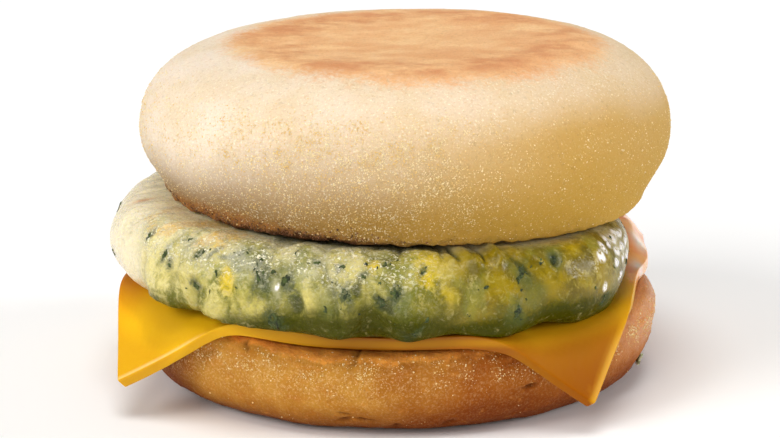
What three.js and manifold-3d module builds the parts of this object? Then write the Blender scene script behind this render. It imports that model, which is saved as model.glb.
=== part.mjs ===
// A breakfast sandwich: a toasted muffin cut in two, with a cheese slice and a thick egg and spinach
// patty between the halves. Millimetres, +Z up. X runs along the width that faces the viewer, -Y is
// the front. The origin is the middle of the flat underside of the bottom half.
import * as THREE from 'three';
import { mergeVertices } from 'three/addons/utils/BufferGeometryUtils.js';
import Module from 'manifold-3d';

const wasm = await Module();
wasm.setup();

const { degToRad, radToDeg, euclideanModulo, smoothstep, lerp } = THREE.MathUtils;

// Driving dimensions in millimetres. Directions round the axis are in degrees, 0 right and 90 back.
const gap = 0.4;
const mouldGap = 0.3;

const bottomRadius = 45.6;
const bottomFlatRadius = 35.5;
const bottomHeight = 14.4;
const bottomFootRound = 11.4;
const bottomRimRound = 3;
// How uneven the round outline is: waves per turn, size as a share of the radius, starting angle
const bottomUneven = [[2, 0.006, 0.6], [3, 0.005, 2.1], [7, 0.002, 1.3]];

const sliceSide = 89;
const sliceThickness = 2.3;
const sliceTurn = degToRad(-7.4);
const sliceCentre = { x: -1.3, y: 3 };
// A corner of the slice bends down past a line square to the diagonal, at this distance from its middle
const sliceCorners = [
  { right: -1, back: -1, distance: 44.1, droop: 48, bend: 5.8 },
  { right: 1, back: -1, distance: 45.7, droop: 61, bend: 5.8 },
  { right: 1, back: 1, distance: 50.5, droop: 42, bend: 12 },
  { right: -1, back: 1, distance: 46, droop: 48, bend: 6 },
];

// The slice and all that lies against it rise towards the left and the right side, and over two
// ridges of the bread that run from front to back
const riseReach = 45;
const riseLeft = 1.9;
const riseRight = 2.2;
const ridges = [
  { middle: -27, wide: 8, high: 1.3 },
  { middle: 12, wide: 9, high: 0.8 },
];

const pattyRadius = 45.9;
const pattyCentre = { x: -4.5, y: -1.6 };
const pattySideRound = 6.5;
// Below 1 the side is blunter than a half circle
const pattySideBlunt = 0.75;
// The patty reaches further out towards the front right and less far to the right
const pattyBulges = [
  { at: -41, wide: 23, out: 4.6 },
  { at: 12, wide: 26, out: -1.6 },
];
// Its edge sags past the edge of the slice in these directions, between these two radii
const sagReach = { from: 40.5, to: 46.5 };
const pattySags = [
  { at: -41, wide: 23, out: 1.6 },
  { at: -68, wide: 12, out: 1.3 },
  { at: -118, wide: 15, out: 2.0 },
];
// Its left end is thinner, at this distance left of the axis
const pattyLeftEnd = { from: 38, to: 50, thinner: 1.6 };
// Lobes of egg that swell out low on the side
const pattyLobes = [
  { at: -97, wide: 7, out: 1.6 },
  { at: -82, wide: 6, out: 1.8 },
  { at: -118, wide: 6, out: 0.9 },
  { at: -64, wide: 9, out: 0.9 },
  { at: -142, wide: 8, out: 0.8 },
  { at: 20, wide: 9, out: 0.8 },
  { at: 75, wide: 8, out: 1.0 },
  { at: 130, wide: 10, out: 0.9 },
];
// Folds round the side: waves per turn, size, starting angle; they lean over as they rise
const pattyFolds = [[5, 0.3, 0.4], [9, 0.3, 2.2], [14, 0.35, 4.0], [23, 0.2, 1.0]];
const foldLean = 0.12;
// The low lobes have faded out between these two shares of the patty's height
const lobeFade = { from: 0.25, to: 0.75 };
// Bits of spinach leaf in the front of the side: direction, height as a share of the patty's, half the
// length, half the width, and how far the bit leans from upright
const frontLeaves = [
  { at: -145, up: 0.85, long: 1.1, wide: 0.9, lean: 0 },
  { at: -138, up: 0.7, long: 1.8, wide: 0.8, lean: 10 },
  { at: -136, up: 0.62, long: 1.2, wide: 0.6, lean: -15 },
  { at: -128, up: 0.82, long: 1.6, wide: 0.6, lean: 40 },
  { at: -128, up: 0.48, long: 1.3, wide: 1.0, lean: -20 },
  { at: -118, up: 0.9, long: 2.0, wide: 0.6, lean: 80 },
  { at: -113, up: 0.74, long: 3.2, wide: 1.3, lean: -8 },
  { at: -110, up: 0.22, long: 2.6, wide: 1.6, lean: -15 },
  { at: -107.5, up: 0.68, long: 1.9, wide: 1.1, lean: 30 },
  { at: -101, up: 0.88, long: 1.0, wide: 0.7, lean: 80 },
  { at: -95.5, up: 0.86, long: 1.0, wide: 0.8, lean: 30 },
  { at: -94.5, up: 0.56, long: 2.2, wide: 1.3, lean: 0 },
  { at: -91, up: 0.76, long: 1.1, wide: 0.8, lean: 10 },
  { at: -86, up: 0.9, long: 1.2, wide: 0.9, lean: 60 },
  { at: -84.5, up: 0.6, long: 2.0, wide: 1.4, lean: 20 },
  { at: -87.5, up: 0.42, long: 1.5, wide: 1.2, lean: -20 },
  { at: -81, up: 0.15, long: 1.9, wide: 0.9, lean: 45 },
  { at: -78.5, up: 0.83, long: 1.4, wide: 0.5, lean: 35 },
  { at: -60, up: 0.36, long: 2.4, wide: 1.6, lean: 0 },
  { at: -58.5, up: 0.78, long: 2.8, wide: 0.9, lean: 30 },
  { at: -50.5, up: 0.88, long: 0.9, wide: 0.7, lean: 0 },
  { at: -38, up: 0.26, long: 1.5, wide: 1.2, lean: 0 },
];
// The other sides have bits at even steps from one direction to another, with chance sizes
const otherLeaves = { count: 17, from: -24, to: 206, least: 1.0, most: 3.2, low: 0.15, high: 0.85 };
const leafWidth = { least: 0.45, most: 0.8 };
// How far its edge wanders from an ellipse
const leafEdge = { least: 0.75, most: 1.1 };
const leafCorners = 6;
const leafThickness = 1.5;
const leafProud = 0.3;

const topRadius = 46.7;
const topCutRadius = 41.5;
const topRimRound = 1;
// The side leans out over the cut by this much within the round rim, and by this much in all its lower part
const topLean = { rim: 0.3, low: 2 };
const topFlatRadius = 26.5;
const topHeight = 27.5;
const topWidestHeight = 11.8;
// The shoulder starts to round over this far outside the flat top and this far below it
const topShoulder = { out: 11, below: 5.5 };
const topDip = 0.7;
const topCentreX = 1.3;
const topCutZ = 32.4;
const topUneven = [[2, 0.004, 0.2], [3, 0.003, 1.4], [5, 0.0015, 0.5]];
// The cut runs down to the right and the griddled top runs up to the right
const topCutSlope = Math.tan(degToRad(-1.4));
const topFlatSlope = Math.tan(degToRad(0.8));

// How far the two pull points of a quarter round stand from its ends, as a share of its size
const roundPull = 0.6;

// A sum of sine waves round the axis, each given as [waves per turn, size, starting angle]
function waves(angle, terms) {
  return terms.reduce((sum, [count, size, start]) => sum + size * Math.sin(count * angle + start), 0);
}

// A bump that is 1 at its middle and fades to 0 past its half width
function bump(distance, wide) {
  return Math.exp(-((distance / wide) ** 2));
}

// A swelling that is 1 in its own direction round the axis
function lobe(angle, { at, wide }) {
  return bump(euclideanModulo(radToDeg(angle) - at + 180, 360) - 180, wide);
}

function swelling(angle, list) {
  return list.reduce((sum, each) => sum + each.out * lobe(angle, each), 0);
}

function rise(x) {
  const sides = (x < 0 ? riseLeft : riseRight) * (x / riseReach) ** 2;
  return ridges.reduce((sum, { middle, wide, high }) => sum + high * bump(x - middle, wide), sides);
}

// Numbers from 0 to 1 in a fixed order
function seededDraw(seed) {
  let state = seed;
  return () => {
    state = (state * 1664525 + 1013904223) % 4294967296;
    return state / 4294967296;
  };
}

// The closed form of a mesh: shared corners only, without triangles that have shrunk to a line
function closed(geometry) {
  geometry.deleteAttribute('normal');
  geometry.deleteAttribute('uv');
  const merged = mergeVertices(geometry, 1e-4);
  const kept = [];
  for (let i = 0; i < merged.index.count; i += 3) {
    const corners = [0, 1, 2].map((k) => merged.index.getX(i + k));
    if (new Set(corners).size === 3) kept.push(...corners);
  }
  merged.setIndex(kept);
  return merged;
}

// Moves each corner of a mesh to where place(x, y, z) says
function reshaped(geometry, place) {
  const position = geometry.getAttribute('position');
  for (let i = 0; i < position.count; i += 1) {
    position.setXYZ(i, ...place(position.getX(i), position.getY(i), position.getZ(i)));
  }
  return geometry;
}

// A straight run of outline points at one height, from one radius to another
function level(from, to, height, steps) {
  return Array.from({ length: steps + 1 }, (_, i) => new THREE.Vector2(lerp(from, to, i / steps), height));
}

// A curved run of outline points between two corners, pulled towards the two points between them
function bent(start, pullA, pullB, end, steps) {
  const corners = [start, pullA, pullB, end].map(([radius, height]) => new THREE.Vector2(radius, height));
  return new THREE.CubicBezierCurve(...corners).getPoints(steps);
}

// A round body about the Z axis, from outline points that run from the underside to the top
function turned(points, segments) {
  const outline = points.filter((point, i) => i === 0 || point.distanceTo(points[i - 1]) > 1e-6);
  return closed(new THREE.LatheGeometry(outline, segments).rotateX(Math.PI / 2));
}

function solidOf(geometry) {
  return new wasm.Manifold(
    new wasm.Mesh({
      numProp: 3,
      vertProperties: new Float32Array(geometry.getAttribute('position').array),
      triVerts: new Uint32Array(geometry.index.array),
    }),
  );
}

function geometryOf(solid) {
  const { vertProperties, triVerts } = solid.getMesh();
  const geometry = new THREE.BufferGeometry();
  geometry.setAttribute('position', new THREE.BufferAttribute(vertProperties, 3));
  geometry.setIndex(new THREE.BufferAttribute(triVerts, 1));
  return geometry;
}

function piece(name, geometry, colour, roughness) {
  geometry.computeVertexNormals();
  const material = new THREE.MeshStandardMaterial({ color: colour, roughness, metalness: 0 });
  const mesh = new THREE.Mesh(geometry, material);
  mesh.name = name;
  return mesh;
}

// The bottom half: flat underside, round foot, upright side, and a cut face that carries the slice
function bottomHalf() {
  const rimHeight = bottomHeight - bottomRimRound;
  const rimRadius = bottomRadius - bottomRimRound;
  const outline = [
    ...level(0, bottomFlatRadius, 0, 3),
    ...bent([bottomFlatRadius, 0], [bottomFlatRadius + bottomFootRound * roundPull, 0],
      [bottomRadius, bottomFootRound * (1 - roundPull)], [bottomRadius, bottomFootRound], 8),
    ...bent([bottomRadius, rimHeight], [bottomRadius, rimHeight + bottomRimRound * roundPull],
      [rimRadius + bottomRimRound * roundPull, bottomHeight], [rimRadius, bottomHeight], 4),
    ...level(rimRadius, 0, bottomHeight, 8),
  ];
  return reshaped(turned(outline, 52), (x, y, z) => {
    const angle = Math.atan2(y, x);
    const edge = Math.min(1, Math.hypot(x, y) / bottomRadius);
    const swell = 1 + edge * waves(angle, bottomUneven);
    return [x * swell, y * swell, z + (z / bottomHeight) * rise(x)];
  });
}

// The slice: a thin square sheet whose corners hang down, the one at the back right only at its tip.
// It can be made larger by a margin all over.
function cheeseSlice(margin = 0) {
  const side = sliceSide + 2 * margin;
  const sheet = closed(new THREE.BoxGeometry(side, side, sliceThickness + 2 * margin, 22, 22, 1));
  return reshaped(sheet, (x, y, z) => {
    const depth = z - sliceThickness / 2;
    let [flatX, flatY, high] = [x, y, depth];
    for (const { right, back, distance, droop, bend } of sliceCorners) {
      const past = (x * right + y * back) / Math.SQRT2 - distance;
      if (past <= 0) continue;
      const fullAngle = degToRad(droop);
      const angle = Math.min(past / bend, fullAngle);
      const straight = Math.max(0, past - bend * fullAngle);
      const along = (bend + depth) * Math.sin(angle) + straight * Math.cos(fullAngle);
      high = depth * Math.cos(angle) - bend * (1 - Math.cos(angle)) - straight * Math.sin(fullAngle);
      flatX += ((along - past) * right) / Math.SQRT2;
      flatY += ((along - past) * back) / Math.SQRT2;
    }
    const placedX = sliceCentre.x + flatX * Math.cos(sliceTurn) - flatY * Math.sin(sliceTurn);
    const placedY = sliceCentre.y + flatX * Math.sin(sliceTurn) + flatY * Math.cos(sliceTurn);
    return [placedX, placedY, bottomHeight + gap + sliceThickness + high + rise(placedX)];
  });
}

// How far the side of the patty stands out from a plain round one, at a height from 0 to 1
function pattySwell(angle, up) {
  const folds = waves(angle + up * foldLean, pattyFolds);
  const low = 1 - smoothstep(up, lobeFade.from, lobeFade.to);
  return folds + swelling(angle, pattyBulges) + low * swelling(angle, pattyLobes);
}

// The patty lies between the slice and the cut face of the top half
function pattyPoint(angle, radius, up) {
  const x = pattyCentre.x + radius * Math.cos(angle);
  const y = pattyCentre.y + radius * Math.sin(angle);
  const sag = swelling(angle, pattySags) * smoothstep(radius, sagReach.from, sagReach.to);
  const thinner = smoothstep(-x, pattyLeftEnd.from, pattyLeftEnd.to) * pattyLeftEnd.thinner;
  const under = bottomHeight + gap + sliceThickness + gap + rise(x) - sag;
  const over = topCutZ - gap + (x - topCentreX) * topCutSlope - thinner;
  return new THREE.Vector3(x, y, lerp(under, over, up));
}

// The plain side of the patty: how far out it is at a height from 0 to 1
function pattySideRadius(up) {
  const around = Math.acos(1 - 2 * up);
  return pattyRadius - pattySideRound * (1 - Math.sin(around) ** pattySideBlunt);
}

// The bits of leaf on the sides that frontLeaves leaves out
function chanceLeaves(draw) {
  const { count, from, to, least, most, low, high } = otherLeaves;
  return Array.from({ length: count }, (_, i) => {
    const long = lerp(least, most, draw() ** 1.5);
    return {
      at: lerp(from, to, (i + draw()) / count),
      up: lerp(low, high, draw()),
      long,
      wide: long * lerp(leafWidth.least, leafWidth.most, draw()),
      lean: lerp(-90, 90, draw()),
    };
  });
}

// A bit of spinach leaf: a thin plate with an uneven edge, lying in the side of the patty
function spinachLeaf({ at, up, long, wide, lean }, draw) {
  const edge = Array.from({ length: leafCorners }, (_, i) => {
    const around = (i / leafCorners) * Math.PI * 2;
    const reach = lerp(leafEdge.least, leafEdge.most, draw());
    return new THREE.Vector2(wide * reach * Math.cos(around), long * reach * Math.sin(around));
  });
  const options = { depth: leafThickness, bevelEnabled: false };
  const plate = new THREE.ExtrudeGeometry(new THREE.Shape(edge), options);
  const angle = degToRad(at);
  const outward = new THREE.Vector3(Math.cos(angle), Math.sin(angle), up - 0.5).normalize();
  const sideways = new THREE.Vector3(-Math.sin(angle), Math.cos(angle), 0);
  const upward = new THREE.Vector3().crossVectors(outward, sideways);
  plate.rotateZ(-degToRad(lean));
  plate.translate(0, 0, leafProud - leafThickness);
  plate.applyMatrix4(new THREE.Matrix4().makeBasis(sideways, upward, outward));
  plate.translate(...pattyPoint(angle, pattySideRadius(up) + pattySwell(angle, up), up).toArray());
  return solidOf(closed(plate));
}

// The patty: a thick disc of egg with a folded, lumpy side and bits of spinach fused into it. It is
// moulded to the slice where it sags over the fold.
function eggPatty() {
  const sideSteps = 11;
  const flatRadius = pattyRadius - pattySideRound;
  const side = Array.from({ length: sideSteps + 1 }, (_, i) => {
    const up = (1 - Math.cos((i / sideSteps) * Math.PI)) / 2;
    return new THREE.Vector2(pattySideRadius(up), up);
  });
  const outline = [...level(0, flatRadius, 0, 4), ...side, ...level(flatRadius, 0, 1, 4)];
  const body = reshaped(turned(outline, 68), (x, y, up) => {
    const angle = Math.atan2(y, x);
    const radius = Math.hypot(x, y);
    const swell = pattySwell(angle, up) * smoothstep(radius, flatRadius * 0.5, flatRadius);
    return pattyPoint(angle, radius + swell, up).toArray();
  });
  const draw = seededDraw(7);
  const leaves = [...frontLeaves, ...chanceLeaves(draw)].map((leaf) => spinachLeaf(leaf, draw));
  const whole = leaves.reduce((joined, leaf) => joined.add(leaf), solidOf(body));
  const pieces = whole.subtract(solidOf(cheeseSlice(mouldGap))).decompose();
  return geometryOf(pieces.reduce((largest, each) => (each.volume() > largest.volume() ? each : largest)));
}

// The top half: cut face down, a full round side, and a flat top where the griddle pressed it
function topHalf() {
  const outline = [
    ...level(0, topCutRadius - topRimRound, 0, 3),
    ...bent([topCutRadius - topRimRound, 0], [topCutRadius - topRimRound * (1 - roundPull), 0],
      [topCutRadius, topRimRound * (1 - roundPull)], [topCutRadius + topLean.rim, topRimRound], 2),
    ...bent([topCutRadius + topLean.rim, topRimRound], [topCutRadius + topLean.low, topWidestHeight * 0.45],
      [topRadius, topWidestHeight * roundPull], [topRadius, topWidestHeight], 5),
    ...bent([topRadius, topWidestHeight], [topRadius, topHeight - topShoulder.below],
      [topFlatRadius + topShoulder.out, topHeight], [topFlatRadius, topHeight], 10),
    ...level(topFlatRadius, 0, topHeight, 3),
  ];
  return reshaped(turned(outline, 54), (x, y, z) => {
    const angle = Math.atan2(y, x);
    const up = z / topHeight;
    const swell = 1 + waves(angle, topUneven);
    const dip = topDip * up * (1 - smoothstep(Math.hypot(x, y), 0, topFlatRadius));
    return [x * swell, y * swell, z - dip + x * lerp(topCutSlope, topFlatSlope, up)];
  });
}

const top = piece('top_muffin_half', topHalf(), 0xe3c184, 0.85);
top.position.set(topCentreX, 0, topCutZ);

const sandwich = new THREE.Group();
sandwich.add(
  piece('bottom_muffin_half', bottomHalf(), 0xc98b45, 0.8),
  piece('cheese_slice', cheeseSlice(), 0xf0a91f, 0.35),
  piece('egg_patty', eggPatty(), 0xb9b468, 0.45),
  top,
);

export default sandwich;
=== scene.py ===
import math
import random

import bmesh
import bpy
import numpy as np
from mathutils import Matrix, Quaternion, Vector, noise
from mathutils.bvhtree import BVHTree


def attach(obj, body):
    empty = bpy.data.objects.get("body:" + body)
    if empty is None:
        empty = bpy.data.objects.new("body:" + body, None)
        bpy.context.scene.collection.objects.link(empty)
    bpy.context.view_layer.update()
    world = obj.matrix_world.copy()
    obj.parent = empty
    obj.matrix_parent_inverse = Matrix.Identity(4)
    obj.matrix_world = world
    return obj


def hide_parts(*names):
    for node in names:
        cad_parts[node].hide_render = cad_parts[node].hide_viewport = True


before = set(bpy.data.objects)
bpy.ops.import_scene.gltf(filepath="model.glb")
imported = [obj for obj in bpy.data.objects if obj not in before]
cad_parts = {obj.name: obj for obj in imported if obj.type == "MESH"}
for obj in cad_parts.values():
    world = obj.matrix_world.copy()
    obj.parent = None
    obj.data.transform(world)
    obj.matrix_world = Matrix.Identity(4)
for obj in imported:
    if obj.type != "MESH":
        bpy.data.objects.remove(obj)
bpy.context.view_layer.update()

# Bottom muffin half. Soft yeast bread with a thin floury crust, cut across and toasted, so the rim
# under the cheese is red-brown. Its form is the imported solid's, smoothed and finely divided, and the
# crust's wrinkles and cracks are moved into the mesh.
to_metres = 0.001
front = -90


def placed(name, data):
    """A mesh, a lamp or a camera as a new object in the scene."""
    obj = bpy.data.objects.new(name, data)
    bpy.context.scene.collection.objects.link(obj)
    return obj


def made(name, bm):
    """A finished bmesh as a new object."""
    mesh = bpy.data.meshes.new(name)
    bm.to_mesh(mesh)
    bm.free()
    return placed(name, mesh)


def divide(obj, levels):
    """Divides the faces of a mesh, and smooths it."""
    smooth = obj.modifiers.new("smooth", "SUBSURF")
    smooth.levels = smooth.render_levels = levels
    obj.data = bpy.data.meshes.new_from_object(obj.evaluated_get(bpy.context.evaluated_depsgraph_get()))
    obj.modifiers.clear()


def fine_copy(node, name, levels):
    """A smooth and finely divided copy of a solid, as a new object."""
    bm = bmesh.new()
    bm.from_mesh(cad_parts[node].data)
    bmesh.ops.remove_doubles(bm, verts=bm.verts, dist=1e-5)
    bmesh.ops.join_triangles(
        bm, faces=bm.faces, angle_face_threshold=math.radians(40), angle_shape_threshold=math.radians(70)
    )
    obj = made(name, bm)
    divide(obj, levels)
    obj.data.materials.clear()
    return obj


def points_of(obj):
    """The corners of a mesh in millimetres, one row each."""
    flat = np.empty(len(obj.data.vertices) * 3)
    obj.data.vertices.foreach_get("co", flat)
    return flat.reshape(-1, 3) / to_metres


def normals_of(obj):
    flat = np.empty(len(obj.data.vertices) * 3)
    obj.data.vertex_normals.foreach_get("vector", flat)
    return flat.reshape(-1, 3)


def set_points(obj, points):
    obj.data.vertices.foreach_set("co", (points * to_metres).ravel())
    obj.data.update()


def raise_surface(obj, heights):
    """Moves each corner along its normal, by a height in millimetres, but not below the floor."""
    moved = points_of(obj) + normals_of(obj) * heights[:, None]
    moved[:, 2] = np.maximum(moved[:, 2], 0)
    set_points(obj, moved)


def step(values, start, end):
    """0 before start, 1 past end, and smooth between them."""
    share = np.clip((values - start) / (end - start), 0, 1)
    return share * share * (3 - 2 * share)


def within(values, start, full, fading, end):
    """0 before start, 1 from full to fading, 0 past end, and smooth between them."""
    return step(values, start, full) * (1 - step(values, fading, end))


def hump(values, middle, wide):
    return np.exp(-(((values - middle) / wide) ** 2))


def leaning_spot(along, rising, long, wide, lean=0):
    """1 in the middle of a spot and falling off round it; long and wide are half its size."""
    slope = math.radians(lean)
    lengthwise = along * math.sin(slope) + rising * math.cos(slope)
    crosswise = along * math.cos(slope) - rising * math.sin(slope)
    return hump(lengthwise, 0, long) * hump(crosswise, 0, wide)


def turn_gap(angles, at):
    """The angle in degrees from one direction to each of the others, the short way round."""
    return (angles - at + 180) % 360 - 180


def towards(angles, at, wide):
    """1 in one direction, and falling off to both sides of it."""
    return hump(turn_gap(angles, at), 0, wide)


def ripple(points, wavelength, seed=0):
    """Soft noise from about -1 to 1. wavelength is one size in millimetres, or one for each axis."""
    places = points / wavelength + np.array([17.3, 7.1, 3.7]) * seed
    return np.array([noise.noise(place) for place in places.tolist()])


def creases(points, wavelength, seed=0, sharp=4):
    """1 along thin wandering lines, and falling off quickly beside them."""
    return (1 - np.abs(ripple(points, wavelength, seed))) ** sharp


def paint(obj, name, values):
    """Stores one number a corner on the mesh, for the finish to read."""
    layer = obj.data.attributes.new(name, "FLOAT", "POINT")
    layer.data.foreach_set("value", np.clip(values, 0, 1).astype(np.float32))


def tone(red, green, blue):
    """A colour given as screen values from 0 to 255, as the shader wants it."""
    shares = (red / 255, green / 255, blue / 255)
    return [((c + 0.055) / 1.055) ** 2.4 if c > 10 / 255 else c / 12.92 for c in shares] + [1]


class Finish:
    """A surface finish, built up from nodes. Its patterns are in millimetres of the piece itself. A node
    takes its values as numbers, as other nodes' outputs or as the names of what is painted on the piece."""

    def __init__(self, name, roughness, soft=0, soft_depth=1, soft_tint=(1, 0.5, 0.25), gloss=0.5):
        self.material = bpy.data.materials.new(name)
        self.material.use_nodes = True
        self.nodes = self.material.node_tree.nodes
        self.links = self.material.node_tree.links
        self.shader = self.nodes["Principled BSDF"]
        self.fill(
            self.shader, Roughness=roughness, Specular_IOR_Level=gloss, Subsurface_Weight=soft,
            Subsurface_Radius=soft_tint, Subsurface_Scale=soft_depth * to_metres,
        )
        own_place = self.add("ShaderNodeTexCoord").outputs["Object"]
        in_millimetres = self.add("ShaderNodeMapping", Vector=own_place, Scale=[1 / to_metres] * 3)
        self.place = in_millimetres.outputs["Vector"]

    def set(self, node, socket, value):
        if isinstance(value, str):
            value = self.painted(value)
        if isinstance(value, bpy.types.NodeSocket):
            self.links.new(value, node.inputs[socket])
        else:
            node.inputs[socket].default_value = value

    def fill(self, node, **inputs):
        """Gives a node its values. A socket's name has underscores for its spaces."""
        for socket, value in inputs.items():
            if value is not None:
                self.set(node, socket.replace("_", " "), value)

    def add(self, kind, settings=(), **inputs):
        node = self.nodes.new(kind)
        for name, value in dict(settings).items():
            setattr(node, name, value)
        self.fill(node, **inputs)
        return node

    def painted(self, name):
        return self.add("ShaderNodeAttribute", {"attribute_name": name}).outputs["Fac"]

    def cloud(self, wavelength, detail=3, roughness=0.55, stretch=(1, 1, 1), shift=(0, 0, 0), warp=0):
        """Noise from 0 to 1; stretch is how much longer its spots are along each axis."""
        squeeze = [1 / s for s in stretch]
        moved = self.add("ShaderNodeMapping", Vector=self.place, Location=shift, Scale=squeeze)
        return self.add(
            "ShaderNodeTexNoise", Vector=moved.outputs["Vector"], Scale=1 / wavelength, Detail=detail,
            Roughness=roughness, Distortion=warp,
        ).outputs["Fac"]

    def strands(self, width, *pattern):
        """Thin wandering lines: 1 along them and 0 beside them. The pattern is given as for a cloud."""
        spread = self.cloud(*pattern)
        beside = self.maths("ABSOLUTE", self.maths("SUBTRACT", spread, 0.5), 0)
        return self.between(beside, 0, width, 1, 0)

    def ragged(self, value, grain, reach, start=0.3, end=0.7):
        """A painted spot whose soft edge is broken up by a pattern; reach is how far the pattern bites in."""
        bite = self.between(grain, 0.25, 0.75, -reach, reach)
        return self.between(self.maths("ADD", value, bite), start, end)

    def between(self, value, start, end, low=0, high=1):
        """Low before start, high past end and smooth between them."""
        return self.add(
            "ShaderNodeMapRange", {"interpolation_type": "SMOOTHSTEP"}, Value=value,
            From_Min=start, From_Max=end, To_Min=low, To_Max=high,
        ).outputs["Result"]

    def maths(self, operation, first, second):
        node = self.add("ShaderNodeMath", {"operation": operation})
        self.set(node, 0, first)
        self.set(node, 1, second)
        return node.outputs["Value"]

    def times(self, value, *others):
        for other in others:
            value = self.maths("MULTIPLY", value, other)
        return value

    def mixed(self, share, first, second):
        """The first colour where share is 0 and the second where it is 1. A colour may be a tone's values."""
        node = self.add("ShaderNodeMix", {"data_type": "RGBA"})
        for socket, value in zip((0, 6, 7), (share, first, second)):
            self.set(node, socket, tone(*value) if isinstance(value, tuple) else value)
        return node.outputs[2]

    def cover(self, share, colour, strength=None):
        """Lays one more colour over the finish, as far as share goes, or only at a part of its strength."""
        if strength is not None:
            share = self.times(share, strength)
        self.colour = self.mixed(share, self.colour, colour)

    def dented(self, height, depth, normal=None):
        """A bump; depth is in millimetres for a height from 0 to 1."""
        bump = self.add("ShaderNodeBump", Height=height, Distance=depth * to_metres, Normal=normal)
        return bump.outputs["Normal"]

    def done(self, obj, normal=None, roughness=None, gloss=None):
        self.fill(
            self.shader, Base_Color=self.colour, Normal=normal, Roughness=roughness, Specular_IOR_Level=gloss
        )
        self.put_on(obj)

    def put_on(self, obj):
        obj.data.materials.append(self.material)
        obj.data.shade_smooth()


# Pairs of radii or heights: something starts at the first and is complete at the second.
side_radii = (34, 40)
edge_radii = (40, 43)
rim_radii = (41, 43.5)
cut_heights = (13.6, 14.6)
bottom_rim_z, rim_spread = 12.7, 1.6
rim_line_z = 13.4
flour_z, flour_spread = 9.5, 3.6
right_end_at, right_end_spread = -12, 26
# Degrees from the front: each brown starts at the first, and is full from the second to the third.
right_half_turns = (-14, 24, 112, 160)
left_end_turns = (46, 62, 68, 92)
crack_depth = 0.6
# What lies on this half is lifted towards its ends and over two ridges, each with a place and a spread.
half_width = 45
left_lift, right_lift = 1.9, 2.2
left_ridge, left_ridge_height = (-27, 8), 1.3
right_ridge, right_ridge_height = (12, 9), 0.8
# Each crack: direction, height, half the length and half the width in millimetres, lean from upright.
cracks = [
    (-99, 13.9, 1.1, 0.35, 10), (-123.5, 14.7, 0.9, 0.4, -30), (-101.5, 3, 1.4, 0.3, 70),
    (-97, 3.3, 1.6, 0.22, 95), (-90, 1.8, 0.8, 0.4, 40), (-101.5, 4.4, 0.9, 0.2, 100),
    (-60, 8, 1.4, 0.25, 80), (-78, 2.4, 1, 0.3, 60),
]


def rise(x):
    """How far this half lifts what lies on it."""
    ends = np.where(x < 0, left_lift, right_lift) * (x / half_width) ** 2
    return ends + left_ridge_height * hump(x, *left_ridge) + right_ridge_height * hump(x, *right_ridge)


bottom = fine_copy("bottom_muffin_half", "bottom_muffin", 3)
points = points_of(bottom)
x, y, z = points.T
angles = np.degrees(np.arctan2(y, x))
radii = np.hypot(x, y)
side = step(radii, *side_radii) * (1 - step(z, *cut_heights))
rim = hump(z, bottom_rim_z, rim_spread) * step(radii, *rim_radii)
right_end = towards(angles, right_end_at, right_end_spread) * step(radii, *edge_radii)
lumps = 0.3 * ripple(points, (9, 9, 5), 1) + 0.14 * ripple(points, (4, 4, 2.2), 2)
lumps += 0.25 * right_end * ripple(points, (3, 3, 1.8), 14)
wrinkles = 0.12 * creases(points, (5, 5, 1.8), 3, 6) * step(ripple(points, 9, 4), -0.2, 0.4)
skin = 0.06 * ripple(points, 0.9, 5) + 0.04 * ripple(points, 0.5, 6)
torn = 0.35 * rim * ripple(points, (2.2, 2.2, 1.2), 9)
cracked = np.zeros(len(points))
for at, height, *shape in cracks:
    along = np.radians(turn_gap(angles, at)) * radii + 0.25 * ripple(points, 0.9, 15)
    rising = z - height + 0.25 * ripple(points, 0.9, 16)
    cracked = np.maximum(cracked, leaning_spot(along, rising, *shape))
raise_surface(bottom, side * (lumps - wrinkles + skin) - crack_depth * cracked + torn)
rim_line = rim_line_z + rise(x) + 0.35 * ripple(points, 4, 10)
front_rim = 1 - step(angles, -50, -30)
rightward = turn_gap(angles, front) + 8 * ripple(points, 9, 13)
right_half = within(rightward, *right_half_turns)
# Painted shade: the cracks are painted dark brown as well as dented.
paint(bottom, "cracked", cracked)
paint(bottom, "rim", step(z, rim_line - 0.9, rim_line + 0.7) * (0.25 + 0.75 * front_rim))
# Toasted base with painted shade: darker towards the bottom, and higher up on the right half.
foot_height = z + 1 * ripple(points, 8, 11) - 2.4 * right_half
paint(bottom, "foot", 1 - step(foot_height, 0.2, 6.4))
# Painted shade: the left end, under the cheese's hanging corner, is painted dark red-brown.
leftward = -turn_gap(angles, front) + 6 * ripple(points, 9, 12)
paint(bottom, "left_end", within(leftward, *left_end_turns))
paint(bottom, "right", right_half)
# The glossy right end: a damp crust, painted lighter where the right lamp falls on it (painted light).
paint(bottom, "damp_lit_end", right_end * step(z, 4, 12))
floury = hump(z, flour_z, flour_spread) * (1 - step(angles, -60, -40)) * step(radii, *edge_radii)
paint(bottom, "belt", floury * (1 - 0.55 * right_half))

bread = Finish("golden_crust", 0.6, soft=0.2, soft_depth=1, gloss=0.06)
mottle = bread.between(bread.cloud(7, 4, 0.6), 0.35, 0.68)
bread.colour = bread.mixed(mottle, (190, 136, 54), (172, 112, 34))
bread.cover("right", bread.mixed(mottle, (162, 90, 22), (142, 68, 12)))
streak = bread.between(bread.cloud(3.2, 4, 0.6, (1.6, 1.6, 0.6), (4, 0, 9)), 0.54, 0.7)
bread.cover(streak, (172, 100, 36), 0.35)
# Dark red-brown towards the bottom: the toasted base, with painted shade.
bread.cover("foot", (116, 50, 6), 0.95)
# Painted shade at the left end.
bread.cover("left_end", (118, 46, 10), 0.9)
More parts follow.
